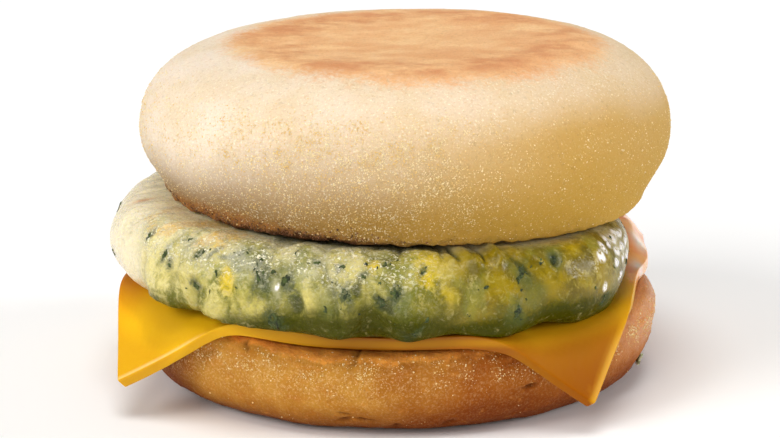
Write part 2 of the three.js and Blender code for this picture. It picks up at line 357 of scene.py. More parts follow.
# Painted light on the damp right end.
bread.cover("damp_lit_end", (222, 148, 78), 0.85)
damp = bread.between(bread.cloud(2.2, 4, 0.6, shift=(3, 3, 7)), 0.5, 0.66)
bread.cover(bread.times(damp, "damp_lit_end"), (190, 108, 50), 0.55)
rim_tone = bread.ragged("rim", bread.cloud(1.6, 5, 0.66), 0.45, 0.1, 1.1)
rim_browns = bread.mixed(bread.between(bread.cloud(2.4, 4), 0.35, 0.65), (232, 154, 62), (202, 124, 48))
bread.cover(rim_tone, rim_browns)
freckles = bread.between(bread.cloud(0.5, 2, 0.5), 0.6, 0.72)
bread.cover(freckles, (140, 76, 28), 0.35)
flour = bread.between(bread.cloud(0.42, 5, 0.74, shift=(9, 2, 4)), 0.48, 0.66)
bread.cover(bread.times(flour, bread.between("belt", 0, 1, 0.12, 0.52)), (238, 202, 144))
# Painted shade in the cracks.
bread.cover("cracked", (84, 38, 12), 0.9)
normal = bread.dented(bread.cloud(0.6, 4, 0.62, (0.8, 0.8, 1.5)), 0.35)
roughness = bread.between("damp_lit_end", 0, 1, 0.6, 0.22)
bread.done(bottom, normal, roughness, bread.between("damp_lit_end", 0, 1, 0.06, 0.3))
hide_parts("bottom_muffin_half")
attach(bottom, "root")

# Cheese slice. A square sheet of soft processed cheese, laid askew; its two front corners hang over the
# edge of the bread and the back right one lies nearly flat. The sharp edges are eased, then smoothed.
slice_side = 89
half_side = slice_side / 2
slice_thickness = 2.3
slice_turn = math.radians(-7.4)
slice_middle = np.array([-1.3, 3])
slice_under_z = 14.8
sharp_edge = math.radians(50)
edge_ease = 0.35
tip_round = 0.7
lip_round = 10
lip_lift, lip_lift_at = 1.5, (41.5, 3)
edge_bulge, edge_bulge_at = 1.6, (10, 10)
curl_down, curl_in = 2, 0.5
shaded_edge = (-33, -24, 17, 25)
front_left_fold = {"right": -1, "back": -1, "distance": 44.1, "droop": math.radians(48), "bend": 5.8}
front_right_fold = {"right": 1, "back": -1, "distance": 45.7, "droop": math.radians(61), "bend": 5.8}
back_right_fold = {"right": 1, "back": 1, "distance": 50.5, "droop": math.radians(42), "bend": 12}
# Painted highlights of wet shine on the lip at the back right, each spot by its place and half its size along
# Y, then along X.
shines = [(15, 5, 44.2, 1.3), (0.5, 3.2, 43, 1.1)]


def past_fold(points, fold):
    """How far each point is past the line where a corner starts to hang, and how far right, on the sheet."""
    away = points[:, :2] - slice_middle
    right = away[:, 0] * math.cos(slice_turn) + away[:, 1] * math.sin(slice_turn)
    back = away[:, 1] * math.cos(slice_turn) - away[:, 0] * math.sin(slice_turn)
    reach = (right * fold["right"] + back * fold["back"]) / math.sqrt(2) - fold["distance"]
    curved = fold["bend"] * math.sin(fold["droop"])
    in_curve = fold["bend"] * np.arcsin(np.clip(reach / fold["bend"], 0, math.sin(fold["droop"])))
    straight = np.maximum(reach - curved, 0) / math.cos(fold["droop"])
    gained = in_curve + straight - np.maximum(reach, 0)
    return reach + gained, right + gained * fold["right"] / math.sqrt(2)


def sharp_edges(bm):
    return [e for e in bm.edges if len(e.link_faces) == 2 and e.calc_face_angle() > sharp_edge]


def ease(bm, edges, size, steps):
    offset = size * to_metres
    bmesh.ops.bevel(bm, geom=edges, offset=offset, affect="EDGES", segments=steps, profile=0.5, material=-1)


cheese = fine_copy("cheese_slice", "cheese", 0)
bm = bmesh.new()
bm.from_mesh(cheese.data)
tips = [e for e in sharp_edges(bm) if abs(e.calc_length() / to_metres - slice_thickness) < 0.05]
ease(bm, tips, tip_round, 3)
ease(bm, sharp_edges(bm), edge_ease, 2)
bm.to_mesh(cheese.data)
bm.free()
divide(cheese, 2)
points = points_of(cheese)
raise_surface(cheese, 0.1 * ripple(points, 12, 20) + 0.03 * ripple(points, 3, 21))
points = points_of(cheese)
behind, right = past_fold(points, back_right_fold)
back = (behind + back_right_fold["distance"]) * math.sqrt(2) - right
corner = half_side - lip_round
past_right, past_back = np.maximum(right - corner, 0), np.maximum(back - corner, 0)
away = np.hypot(past_right, past_back)
pulled = away - np.maximum(past_right, past_back)
pulled *= np.where(away > 0, 1 / np.maximum(away, 1e-6), 0)
diagonal = slice_turn + math.radians(45)
inward = -pulled * (past_right + past_back) / math.sqrt(2)
sideways = -pulled * (past_right - past_back) / math.sqrt(2)
level = math.cos(back_right_fold["droop"])
points[:, 0] += inward * level * math.cos(diagonal) + sideways * math.sin(diagonal)
points[:, 1] += inward * level * math.sin(diagonal) - sideways * math.cos(diagonal)
points[:, 2] -= inward * math.sin(back_right_fold["droop"])
to_the_back = step(points[:, 1], -8, 12)
curl = step(right, half_side - 3.4, half_side + 0.5) * to_the_back
lifted = hump(points[:, 0], *lip_lift_at) * step(points[:, 1], 0, 16)
points[:, 2] += lip_lift * lifted - curl_down * curl
right_edge = step(right, half_side - 4, half_side)
points[:, 0] += edge_bulge * hump(points[:, 1], *edge_bulge_at) * right_edge - curl_in * curl
set_points(cheese, points)
x, y, z = points.T
shine_highlight = [hump(y, at_y, long) * hump(x, at_x, wide) for at_y, long, at_x, wide in shines]
paint(cheese, "shine_highlight", np.maximum(*shine_highlight))
past_front, across = past_fold(points, front_right_fold)
_, across_back = past_fold(points, back_right_fold)
right_band = step(across, half_side - 2, half_side - 0.5)
lip = step(across_back + 1.2 * ripple(points, 5, 22), half_side - 9, half_side - 4)
rolled_edge = step(across_back, half_side - 2.4, half_side - 1)
past_left, right_there = past_fold(points, front_left_fold)
to_the_front = (past_left + front_left_fold["distance"]) * math.sqrt(2) + right_there
front_edge = step(to_the_front, half_side - 0.9, half_side - 0.4)
# Painted highlight: a pale line along the eased top of the front edge, on the hanging front left corner.
paint(cheese, "eased", front_edge * step(normals_of(cheese)[:, 2], 0.2, 0.5) * step(past_left, 4, 9))
# Painted light: the flat part of the left corner, in shade under the patty and the top half, is painted
# brighter.
paint(cheese, "lit_flat_left", (1 - step(past_left, 7.5, 12.5)) * step(-x, 20, 30))
# Painted shade: the left edge near the patty is painted deep orange.
left_side = step(y, -26, -10) * step(-x, 41, 45)
paint(cheese, "shaded_left_edge", left_side * step(-y, 0, 9))
# Painted shade: the front right corner, hanging away from the lamps, is painted deep orange-brown, less along
# its lit right edge.
shaded_hanging = step(past_front, 1, 7) * (0.74 + 0.14 * step(past_front, 5, 15))
paint(cheese, "shaded_hanging", shaded_hanging * (1 - 0.85 * right_band))
outer_edge = within(x, *shaded_edge) * step(-y, 39.5, 41)
up_the_edge = z - rise(x) - slice_under_z
paint(cheese, "edge_shade", outer_edge * (0.42 + 0.5 * step(np.abs(up_the_edge - 1.1), 0.1, 1.1)))
# Painted sheen: the lip at the back right and its rolled edge are painted pale peach, over their real gloss.
paint(cheese, "pale", lip * step(y + 1.5 * ripple(points, 6, 23) + 9 * rolled_edge, -7, 0))

waxy = Finish("cheese", 0.34, soft=0.3, soft_depth=1.4, soft_tint=(1, 0.55, 0.12), gloss=0.16)
waxy.colour = waxy.mixed(waxy.between(waxy.cloud(16, 2), 0.35, 0.7), (216, 160, 18), (210, 152, 14))
# Painted light on the flat left corner.
waxy.cover("lit_flat_left", (236, 182, 20))
# Painted shade on the left edge.
waxy.cover("shaded_left_edge", (196, 96, 6), 0.7)
# Painted shade on the hanging corner.
waxy.cover("shaded_hanging", (124, 34, 0), 0.9)
# Painted shadow round the patty.
waxy.cover("patty_contact_shadow", (128, 76, 4), 0.22)
waxy.cover("edge_shade", (150, 82, 4))
# Painted highlight along the front edge.
waxy.cover("eased", (255, 214, 150), 0.5)
# Painted sheen on the lip, in peach.
peach = waxy.mixed(waxy.between(waxy.cloud(5, 2), 0.4, 0.65), (255, 178, 92), (248, 150, 64))
waxy.cover("pale", peach)
# Painted highlights on the lip.
waxy.cover("shine_highlight", (255, 240, 224), 0.85)
normal = waxy.dented(waxy.cloud(1.6, 3, 0.5), 0.05)
roughness = waxy.between("pale", 0, 1, 0.4, 0.14)
gloss = waxy.maths("ADD", waxy.between("shaded_hanging", 0, 1, 0.14, 0.03), waxy.between("pale", 0, 1, 0, 0.14))
waxy.done(cheese, normal, roughness, gloss)
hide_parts("cheese_slice")
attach(cheese, "root")

# Egg patty. Egg white and curds baked round and thick with chopped spinach, folded and lumpy at the
# side and wet on the surface. A fine grid is wrapped round its side line into the solid's own form.
bread_top_z = 14.4
gap = 0.4
patty_radius = 45.9
patty_x, patty_y = -4.5, -1.6
side_round = 6.5
side_blunt = 0.75
side_height = 14.5
# Bulges and lobes stand out and sags hang down: direction and spread in degrees, then millimetres.
bulges = [(-41, 23, 4.6), (9, 25, -2.9)]
sags = [
    (-41, 23, 1.6), (-68, 12, 1.3), (-118, 15, 2), (-97.5, 5, 0.8), (-89.5, 4.2, -3), (-82, 5, 0.6),
    (-51, 6.5, -1.5),
]
sag_radii = (40.5, 46.5)
bun_edge_radii = (41.3, 42.1)
shaded_gap = (-32, -16, 5, 12)
smooth_turns = (-84, -66, -10, 40)
sheen_turns = (-160, -140, -98, -84)
lobes = [
    (-97, 7, 1.6), (-82, 6, 1.8), (-118, 6, 0.9), (-64, 9, 0.9), (-142, 8, 0.8), (20, 9, 0.8), (75, 8, 1),
    (130, 10, 0.9),
]
# Folds run all the way round: how many, how deep, and where the first one starts in radians.
folds = [(5, 0.3, 0.4), (9, 0.3, 2.2), (14, 0.35, 4), (23, 0.2, 1)]
fold_lean = 0.12
lobe_rise, wet_rise, raised_height = 0.55, 0.2, 0.9
notch_depth, hollow_depth = 0.8, 0.35
# The cut face of the top half, which lies on the patty: its height at its middle, and its slope.
cut_z = 32.4
top_x = 1.3
cut_slope = math.tan(math.radians(-1.4))
# Each spot: direction, height as a share of the patty's, half the length and half the width in
# millimetres, and its lean from upright if it leans.
pale_lobes = [
    (-123, 0.36, 3.2, 2.2, 8), (-102.5, 0.52, 2.8, 1.5, -6), (-130, 0.62, 2.6, 2.4),
    (-138, 0.42, 2.4, 2, 20),
]
yolk_spots = [
    (-76, 0.93, 1.8, 2.6), (-77.5, 0.76, 1.6, 2), (-51.2, 0.38, 1.1, 1.3), (-44.5, 0.6, 2.2, 2.6),
    (-73, 0.56, 1.6, 1.8), (-89.5, 0.86, 1.4, 1.8), (-45.2, 0.97, 1.4, 1.8), (-120, 0.62, 2.6, 1),
    (-146, 0.66, 1.2, 1.6), (60, 0.6, 2.4, 2.2), (110, 0.4, 2, 2.4), (160, 0.7, 2.4, 2), (10, 0.5, 2, 2),
]
# Wet places, raised a little and painted with white blobs: painted highlights.
wet_glint_spots = [
    (-36, 0.86, 0.6, 0.9), (-31.5, 0.9, 0.6, 1.2), (-27.5, 0.89, 0.6, 1.5), (-23, 0.88, 0.6, 1.9),
    (-30, 0.77, 0.8, 1.2), (-25.5, 0.75, 0.8, 1.6), (-20.5, 0.74, 0.8, 2), (-32.5, 0.66, 0.8, 0.9),
    (-27.5, 0.62, 0.8, 1.3), (-22.5, 0.58, 0.8, 1.8), (-38.4, 0.8, 0.7, 0.7), (-31, 0.44, 0.7, 1),
    (-38.4, 0.46, 0.9, 0.6), (-109.2, 0.62, 0.8, 0.3, 10),
]
# Milky wet places, painted as a paler sheen, more spread out than the white highlights.
milky_sheen_spots = [(-27, 0.84, 4.6, 4), (-14, 0.6, 5, 4.6), (-109.4, 0.6, 2.4, 0.7, -8)]
notches = [(-71.2, 1, 1.2, 0.45), (-65.2, 0.98, 0.9, 0.4, 20), (-50.4, 0.88, 0.7, 0.6)]
raised = [
    (-68.2, 0.97, 1, 1.5), (-61.8, 0.95, 1.6, 0.8, 30), (-127, 0.2, 2.2, 3.4), (-141, 0.2, 1.8, 3.4),
]
# Hollows, dented and painted dark: painted shade in them.
dark_hollows = [
    (-81.9, 0.14, 2, 0.9, -45), (-58, 0.84, 2.6, 0.6, -30), (-38.4, 0.24, 2, 2), (-105, 0.45, 2.6, 1.3),
    (-50.4, 0.88, 1.2, 1.1), (-86.8, 0.43, 2, 1.6), (-92, 0.6, 2.2, 1.2),
]
grey_hazes = [
    (-58.5, 0.72, 3.6, 1.4, -28), (-56, 0.5, 3, 2.2, -10), (-60.5, 0.36, 2.6, 2), (-50.4, 0.88, 1.8, 1.8),
    (-98, 0.52, 3, 2.6), (-84, 0.55, 3.2, 2.6), (-118, 0.8, 1.4, 3), (-38, 0.26, 1.8, 1.8),
]
# The shaded fold left of the middle, full of leaf, with few pale flecks.
dark_fold = [(-109.2, 0.66, 3.8, 2.6, -8)]
leaf_streaks = [
    (-111.6, 0.68, 3.2, 1.5, -8), (-107.2, 0.62, 2.8, 1.7, -14), (-113.8, 0.62, 2.6, 0.7, 4),
    (-106, 0.68, 1.8, 0.6, -20), (-125, 0.86, 1.8, 0.5, 60), (-121, 0.84, 2.2, 0.5, 75),
    (-96, 0.62, 1.6, 0.7), (-58, 0.66, 2.6, 1.3, 10),
]


def swelling(angle, humps):
    degrees = np.degrees(angle)
    return sum(out * towards(degrees, at, wide) for at, wide, out in humps)


def patty_swell(angle, up):
    waves = sum(size * np.sin(count * (angle + up * fold_lean) + start) for count, size, start in folds)
    waves = waves * (1 - 0.8 * towards(np.degrees(angle), -24, 15))
    return waves + swelling(angle, bulges) + (1 - step(up, 0.25, 0.75)) * swelling(angle, lobes)


def patty_side(up):
    return patty_radius - side_round * (1 - np.sin(np.arccos(1 - 2 * up)) ** side_blunt)


def patty_place(angle, radius, up):
    """The point of the patty in one direction, at one radius, from its underside (0) to its top (1)."""
    x = patty_x + radius * np.cos(angle)
    y = patty_y + radius * np.sin(angle)
    sag = swelling(angle, sags) * step(radius, *sag_radii)
    thinner = 1.6 * step(-x, 38, 50)
    under = bread_top_z + 2 * gap + slice_thickness + rise(x) - sag
    over = cut_z - gap + (x - top_x) * cut_slope - thinner
    return np.stack([x, y, under + (over - under) * up], axis=-1)


around = 640
under_rings, side_rings, over_rings = 9, 92, 22
flat_radius = patty_radius - side_round
ups = (1 - np.cos(np.linspace(0, math.pi, side_rings))) / 2
outline = [(radius, 0) for radius in np.linspace(0, flat_radius, under_rings)[:-1]]
outline += list(zip(patty_side(ups), ups))
outline += [(radius, 1) for radius in np.linspace(flat_radius, 0, over_rings)[1:]]
bm = bmesh.new()
bmesh.ops.create_grid(bm, x_segments=around, y_segments=len(outline) - 1, size=1)
for vert in bm.verts:
    radius, up = outline[round((vert.co.y + 1) / 2 * (len(outline) - 1))]
    angle = (vert.co.x + 1) * math.pi
    vert.co = (radius * math.cos(angle), radius * math.sin(angle), up)
bmesh.ops.remove_doubles(bm, verts=bm.verts, dist=1e-5)
bmesh.ops.recalc_face_normals(bm, faces=bm.faces)
patty = made("patty", bm)
plain = points_of(patty) * to_metres
angle = np.arctan2(plain[:, 1], plain[:, 0])
degrees = np.degrees(angle)
radius = np.hypot(plain[:, 0], plain[:, 1])
up = plain[:, 2]
swell = patty_swell(angle, up) * step(radius, flat_radius / 2, flat_radius)
set_points(patty, patty_place(angle, radius + swell, up))

points = points_of(patty)
x, y, z = points.T
wrapped = np.stack([angle * patty_radius, radius * 0.6, z], axis=-1)
warp_along = 0.9 * ripple(wrapped, 3.2, 43)
warp_up = 0.9 * ripple(wrapped, 3.2, 44)


def spotted(spots):
    """1 in the middle of each spot on the patty's side, and falling off unevenly round it."""
    field = np.zeros(len(points))
    for at, height, *shape in spots:
        along = np.radians(turn_gap(degrees, at)) * patty_radius + warp_along
        rising = (up - height) * side_height + warp_up
        field = np.maximum(field, leaning_spot(along, rising, *shape))
    return field * step(radius, flat_radius - 4, flat_radius)


side = step(radius, flat_radius - 6, flat_radius + 2) * np.where(up < 0.5, step(up, 0, 0.12), 1)
brow = step(up, 0.5, 0.9) * side
smooth_front = within(degrees, *smooth_turns)
crinkled = (1 - 0.8 * smooth_front) * (1 - 0.6 * (1 - step(np.abs(turn_gap(degrees, 180)), 16, 46)))
pale = spotted(pale_lobes)
pillows = 0.45 * ripple(wrapped, (6.5, 6, 8), 31) + 0.3 * crinkled * ripple(wrapped, (3.2, 3, 4), 32)
pleats = creases(wrapped + 2.5 * ripple(wrapped, 9, 33)[:, None], (8, 12, 24), 34, 9)
pleats *= step(ripple(wrapped, 12, 35), -0.15, 0.3) * (1 - 0.6 * smooth_front)
pleats *= 1 - towards(degrees, -22, 18)
curds = 0.26 * (creases(wrapped, (2.4, 2, 2.2), 36, 2) - 0.5)
strands = 0.22 * (creases(wrapped, (1.5, 1, 1.2), 37, 3) - 0.4)
rough_patch = step(ripple(wrapped, (11, 8, 7), 38), -0.25, 0.3)
relief = pillows - pleats + (curds + strands) * crinkled * (0.4 + 0.6 * np.maximum(brow, rough_patch))
relief += lobe_rise * pale - notch_depth * spotted(notches) - hollow_depth * spotted(dark_hollows)
relief += wet_rise * spotted(wet_glint_spots) + raised_height * spotted(raised)
from_top_middle = np.hypot(x - top_x, y)
# Painted shade: a dark ring on the brow, just under the edge of the top half.
gap_shade_ring = 1 - step(from_top_middle + 0.3 * ripple(wrapped, 1.2, 39), *bun_edge_radii)
gap_shade_ring *= step(up, 0.8, 0.95)
gap_shade_ring *= within(x, *shaded_gap)
raise_surface(patty, side * relief)


def surface_of(obj):
    """The surface of a finished piece, for rays to meet."""
    return BVHTree.FromObject(obj, bpy.context.evaluated_depsgraph_get())


# The underside near the edge is moulded by the cheese, and lies just clear of it.
clear_of_cheese = 0.12
moulded_radius, moulded_up = 30, 0.6
ray_start, ray_length = 8, 30
on_cheese = surface_of(cheese)
moulded = points_of(patty)
for i in np.nonzero((up < moulded_up) & (radius > moulded_radius))[0]:
    above = Vector(moulded[i] * to_metres) + Vector((0, 0, ray_start * to_metres))
    hit = on_cheese.ray_cast(above, Vector((0, 0, -1)), ray_length * to_metres)[0]
    if hit:
        moulded[i, 2] = max(moulded[i, 2], hit.z / to_metres + clear_of_cheese)
set_points(patty, moulded)

# Spinach in the patty. Chopped wilted leaf, dark green: the larger bits lie where the solid has them,
# and many finer ones lie between. Each is a thin crinkled scrap, partly sunk in the egg.
front_leaves = [
    (-145, 0.85, 1.1, 0.9, 0), (-138, 0.7, 1.8, 0.8, 10), (-136, 0.62, 1.2, 0.6, -15),
    (-128, 0.82, 1.6, 0.6, 40), (-128, 0.48, 1.3, 1, -20), (-118, 0.9, 2, 0.6, 80),
    (-113, 0.74, 3.2, 1.3, -8), (-110, 0.22, 2.6, 1.6, -15), (-107.5, 0.68, 1.9, 1.1, 30),
    (-101, 0.88, 1, 0.7, 80), (-95.5, 0.86, 1, 0.8, 30), (-94.5, 0.56, 2.2, 1.3, 0),
    (-91, 0.76, 1.1, 0.8, 10), (-86, 0.9, 1.2, 0.9, 60), (-84.5, 0.6, 2, 1.4, 20),
    (-87.5, 0.42, 1.5, 1.2, -20), (-81, 0.15, 1.9, 0.9, 45), (-78.5, 0.83, 1.4, 0.5, 35),
    (-60, 0.36, 2.4, 1.6, 0), (-58.5, 0.78, 2.8, 0.9, 30), (-50.5, 0.88, 1.2, 0.9, 0),
    (-38, 0.26, 1.5, 1.2, 0),
]
other_leaves = 17
fine_bits = 130
leaf_thickness = 0.2
leaf_sides = 12


def seeded_draw(state):
    while True:
        state = (state * 1664525 + 1013904223) % 4294967296
        yield state / 4294967296


draw = seeded_draw(7)
leaves = list(front_leaves)
for place in range(other_leaves):
    long = 1 + 2.2 * next(draw) ** 1.5
    at = -24 + 230 * (place + next(draw)) / other_leaves
    height = 0.15 + 0.7 * next(draw)
    wide = long * (0.45 + 0.35 * next(draw))
    leaves.append((at, height, long, wide, -90 + 180 * next(draw)))

chance = random.Random(11)
scraps = [(at, height, 0.6 * long, 0.55 * wide, lean) for at, height, long, wide, lean in leaves]
for _ in range(fine_bits):
    long = 0.22 + 0.5 * chance.random() ** 2
    height = 0.15 + 0.83 * chance.random() ** 0.6
    at = -145 + 300 * chance.random()
    scraps.append((at, height, long, long * (0.3 + 0.4 * chance.random()), 180 * chance.random()))

on_patty = surface_of(patty)
bm = bmesh.new()
for number, (at, height, long, wide, lean) in enumerate(scraps):
    facing_angle, facing_up = np.radians([at]), np.array([height])
    stands_out = patty_side(facing_up) + patty_swell(facing_angle, facing_up)
    surface = patty_place(facing_angle, stands_out, facing_up)[0]
    outward = Vector((math.cos(facing_angle[0]), math.sin(facing_angle[0]), height - 0.5)).normalized()
    sideways = Vector((-math.sin(facing_angle[0]), math.cos(facing_angle[0]), 0))
    facing = Matrix((sideways, outward.cross(sideways), outward)).transposed().to_4x4()
    place = Matrix.Translation(Vector(surface)) @ facing @ Matrix.Rotation(-math.radians(lean), 4, "Z")
    sunk = 0.06 + 0.07 * chance.random()
    leaf = bmesh.ops.create_circle(bm, cap_ends=True, cap_tris=True, segments=leaf_sides, radius=1)["verts"]
    leaf_edges = list({e for v in leaf for e in v.link_edges})
    divided = bmesh.ops.subdivide_edges(bm, edges=leaf_edges, cuts=2, use_grid_fill=True)
    verts = {v for v in leaf if v.is_valid}
    verts |= {v for v in divided["geom"] if isinstance(v, bmesh.types.BMVert)}
    verts |= {v for e in divided["geom"] if isinstance(e, bmesh.types.BMEdge) for v in e.verts}
    for vert in verts:
        flat_angle = math.atan2(vert.co.y, vert.co.x)
        ragged = 1 + 0.5 * noise.noise((2 * math.cos(flat_angle), 2 * math.sin(flat_angle), number * 3.1))
        ragged += 0.3 * noise.noise((5 * math.cos(flat_angle), 5 * math.sin(flat_angle), number * 5.3))
        spot = place @ Vector((vert.co.x * wide * ragged, vert.co.y * long * ragged, 0))
        hit, normal_there, _, _ = on_patty.ray_cast((spot + outward * 4) * to_metres, -outward, 0.012)
        if hit is None:
            hit, normal_there, _, _ = on_patty.find_nearest(spot * to_metres)
        crinkle = 0.3 * noise.noise(spot * 1.3) + 0.16 * noise.noise(spot * 3.1)
        vert.co = hit + normal_there * (0.1 - sunk + crinkle) * to_metres
bmesh.ops.recalc_face_normals(bm, faces=bm.faces)
spinach = made("spinach_bits", bm)
thick = spinach.modifiers.new("thickness", "SOLIDIFY")
thick.thickness = leaf_thickness * to_metres
thick.offset = -1

leafy = Finish("wilted_leaf", 0.34, soft=0.2, soft_depth=0.6, soft_tint=(0.4, 1, 0.3), gloss=0.22)
leaf_veins = leafy.between(leafy.cloud(0.9, 4, 0.65), 0.35, 0.65)
leafy.colour = leafy.mixed(leaf_veins, (78, 90, 44), (30, 40, 18))
leafy.done(spinach, leafy.dented(leafy.cloud(0.5, 3), 0.3))
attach(spinach, "root")

# The patty's own paint and finish, in which the leaf, the curds and the wet places show.
# It has painted shade in its hollows, creases and low parts, and painted highlights and sheen on its wet
# places.
from_left = np.abs(turn_gap(degrees, 180)) + 8 * ripple(wrapped, 8, 40)
leaf_stains = [(at, height, long * 1.1, wide * 1.15, lean) for at, height, long, wide, lean in leaves]
paint(patty, "leaf", spotted(leaf_stains + leaf_streaks))
# Painted shade in the hollows and notches.
paint(patty, "hollow_shade", spotted(dark_hollows + notches))
paint(patty, "grey", spotted(grey_hazes + dark_fold))
paint(patty, "gap", gap_shade_ring)
paint(patty, "yolk", spotted(yolk_spots))
paint(patty, "pale", pale)
paint(patty, "wet_glints", spotted(wet_glint_spots))
paint(patty, "butter", 0.75 * (1 - step(from_left, 34, 66)) * step(up, 0.1, 0.4))
paint(patty, "cream", 1 - step(from_left, 16, 42))
# Painted shade: darker olive towards the underside, reaching higher round the front.
low_reach = 0.6 + 0.2 * towards(degrees, -95, 10) - 0.2 * (1 - step(degrees, -125, -104))
low = 1 - step(up + 0.1 * ripple(wrapped, 5, 42), 0.06, low_reach)
paint(patty, "low", low * (0.6 + 0.4 * step(degrees, -128, -104)))
# Painted shade: a dark line along the underside edge, where the patty meets the cheese.
paint(patty, "under", side * (1 - step(up, 0.03, 0.11)))
paint(patty, "milky_sheen", spotted(milky_sheen_spots))
paint(patty, "brow", brow * crinkled * (1 - 0.5 * spotted(dark_fold)))
# Painted sheen: a pale haze on the left brow.
paint(patty, "pale_sheen", brow * within(degrees, *sheen_turns) * (1 - 0.8 * spotted(dark_fold)))
paint(patty, "smooth", smooth_front)
# Painted shade in the pleats.
paint(patty, "pleat_shade", pleats * side)
left_top = towards(degrees, -136, 20) * step(up, 0.8, 0.97)
left_top *= step(radius, flat_radius - 8, flat_radius - 2)
paint(patty, "tan", 1.1 * left_top * step(ripple(wrapped, 4, 45), -0.5, 0.3))
paint(patty, "top_face", step(up, 0.88, 1) * step(radius, flat_radius + 3, flat_radius - 5))
browned = hump(x, -44, 1.9) * hump(y - 0.12 * x, -2, 1.2)
paint(patty, "browned", browned * step(up, 0.8, 0.95))
# Painted shadow on the cheese: darker just round the patty's foot.
sheet = points_of(cheese)
sheet_angle = np.arctan2(sheet[:, 1] - patty_y, sheet[:, 0] - patty_x)
low_on_side = np.full(len(sheet), 0.3)
outside = np.hypot(sheet[:, 0] - patty_x, sheet[:, 1] - patty_y)
outside -= patty_side(low_on_side) + patty_swell(sheet_angle, low_on_side)
paint(cheese, "patty_contact_shadow", 1 - step(outside, -0.4, 0.9))

egg = Finish("egg_and_spinach", 0.3, soft=0.25, soft_depth=1.2, soft_tint=(1, 0.85, 0.3), gloss=0.2)
curd = egg.between(egg.cloud(5, 4, 0.6, (1, 1, 1.4), warp=0.4), 0.38, 0.63)
shreds = egg.cloud(1.3, 5, 0.68, warp=0.6)
left_egg = egg.mixed(curd, (196, 182, 94), (112, 110, 22))
right_egg = egg.mixed(curd, (146, 123, 10), (103, 88, 2))
egg.colour = egg.mixed("smooth", left_egg, right_egg)
haze = egg.between(egg.cloud(6, 4, 0.6, (1, 1, 1.6), (20, 5, 2)), 0.5, 0.66)
egg.cover(haze, (126, 130, 48), 0.5)
shred_share = egg.times(egg.between(shreds, 0.5, 0.64), 0.3, egg.between("smooth", 0, 1, 1, 0.55))
egg.cover(shred_share, (220, 202, 108))
yolk = egg.ragged("yolk", shreds, 0.35, 0.1, 1.1)
egg.cover(egg.times(yolk, egg.between("smooth", 0, 0.9, 0.9, 0.2)), (228, 196, 24))
# Painted shade towards the underside.
low = egg.ragged("low", shreds, 0.15, 0.06, 0.8)
egg.cover(low, (58, 60, 0), 0.96)
pale_egg = egg.ragged("pale", shreds, 0.35, 0.15, 0.95)
egg.cover(egg.times(pale_egg, egg.between(low, 0.3, 1, 1, 0.25)), (224, 208, 122), 0.52)
egg.cover(egg.ragged("butter", shreds, 0.35, 0.1, 1.05), (230, 216, 144))
egg.cover("cream", (241, 228, 197))
wisps = egg.strands(0.07, 2.2, 4, 0.6, (1.6, 1.6, 0.7), (3, 3, 3), 0.8)
egg.cover(egg.times(wisps, egg.between("cream", 0, 0.7, 0, 0.18)), (216, 204, 130))
egg.cover("top_face", (255, 242, 194))
egg.cover(egg.ragged("tan", shreds, 0.4, 0.2, 0.9), (222, 178, 84), 0.8)
egg.cover(egg.between("grey", 0.1, 0.9), (92, 100, 46), 0.6)
stain = egg.ragged("leaf", shreds, 0.5, 0.1, 1.05)
egg.cover(egg.times(stain, egg.between("smooth", 0, 1, 0.9, 0.5)), (66, 76, 40))
# Painted shade in the hollows and notches.
egg.cover(egg.ragged("hollow_shade", shreds, 0.15, 0.25, 0.85), (56, 60, 18), 0.8)
# Painted shade in the pleats.
egg.cover("pleat_shade", (84, 84, 24), 0.5)
# Painted sheen on the left brow.
sheen_patch = egg.between(egg.cloud(2.4, 4, 0.62, shift=(4, 9, 1)), 0.36, 0.62, 0.08, 0.42)
egg.cover(egg.times("pale_sheen", sheen_patch), (226, 220, 196))
# Painted highlights: fine white flecks where the wet skin of the brow glistens.
flecks = egg.between(egg.cloud(0.5, 4, 0.68, (1.2, 1.2, 0.9), (2, 9, 3), 0.4), 0.5, 0.6)
fleck_patch = egg.between(egg.cloud(4, 3, 0.6, (1, 1, 0.8), (11, 4, 8)), 0.4, 0.58, 0.4, 1)
fleck_share = egg.times(
    egg.between("brow", 0, 0.9, 0.1, 0.85), fleck_patch, egg.between("smooth", 0, 1, 1, 0.12),
    egg.between(low, 0.2, 0.9, 1, 0.1),
)
flecked = egg.times(flecks, fleck_share)
egg.cover(flecked, (255, 250, 216))
# Painted sheen: a milky paler film on the wet places.
egg.cover(egg.ragged("milky_sheen", shreds, 0.3, 0.05, 1), (222, 214, 172), 0.42)
blobs = egg.between(egg.cloud(0.9, 3, 0.6, shift=(6, 1, 5)), 0.34, 0.54)
# Painted highlights: white blobs in the wet places.
egg.cover(egg.times(egg.between("wet_glints", 0.1, 0.6), blobs), (255, 252, 250), 0.9)
# Painted shade along the underside edge.
egg.cover("under", (40, 40, 6), 0.75)
egg.cover("browned", (214, 146, 84), 0.75)
# Painted shade under the edge of the top half.
egg.cover("gap", (48, 42, 14), 0.85)
roughly = egg.times(*(egg.between(name, 0, 1, 1, 0.3) for name in ("smooth", "cream", "top_face")))
normal = egg.dented(egg.times(egg.cloud(2, 4, 0.62, warp=0.8), roughly), 0.6)
normal = egg.dented(flecked, 0.15, normal)
normal = egg.dented(egg.cloud(0.45, 2, 0.5), 0.05, normal)
roughness = egg.between(egg.cloud(2.5, 3), 0.35, 0.65, 0.16, 0.36)
egg.done(patty, normal, roughness, egg.between(low, 0, 1, 0.26, 0.05))
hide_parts("egg_patty")
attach(patty, "root")

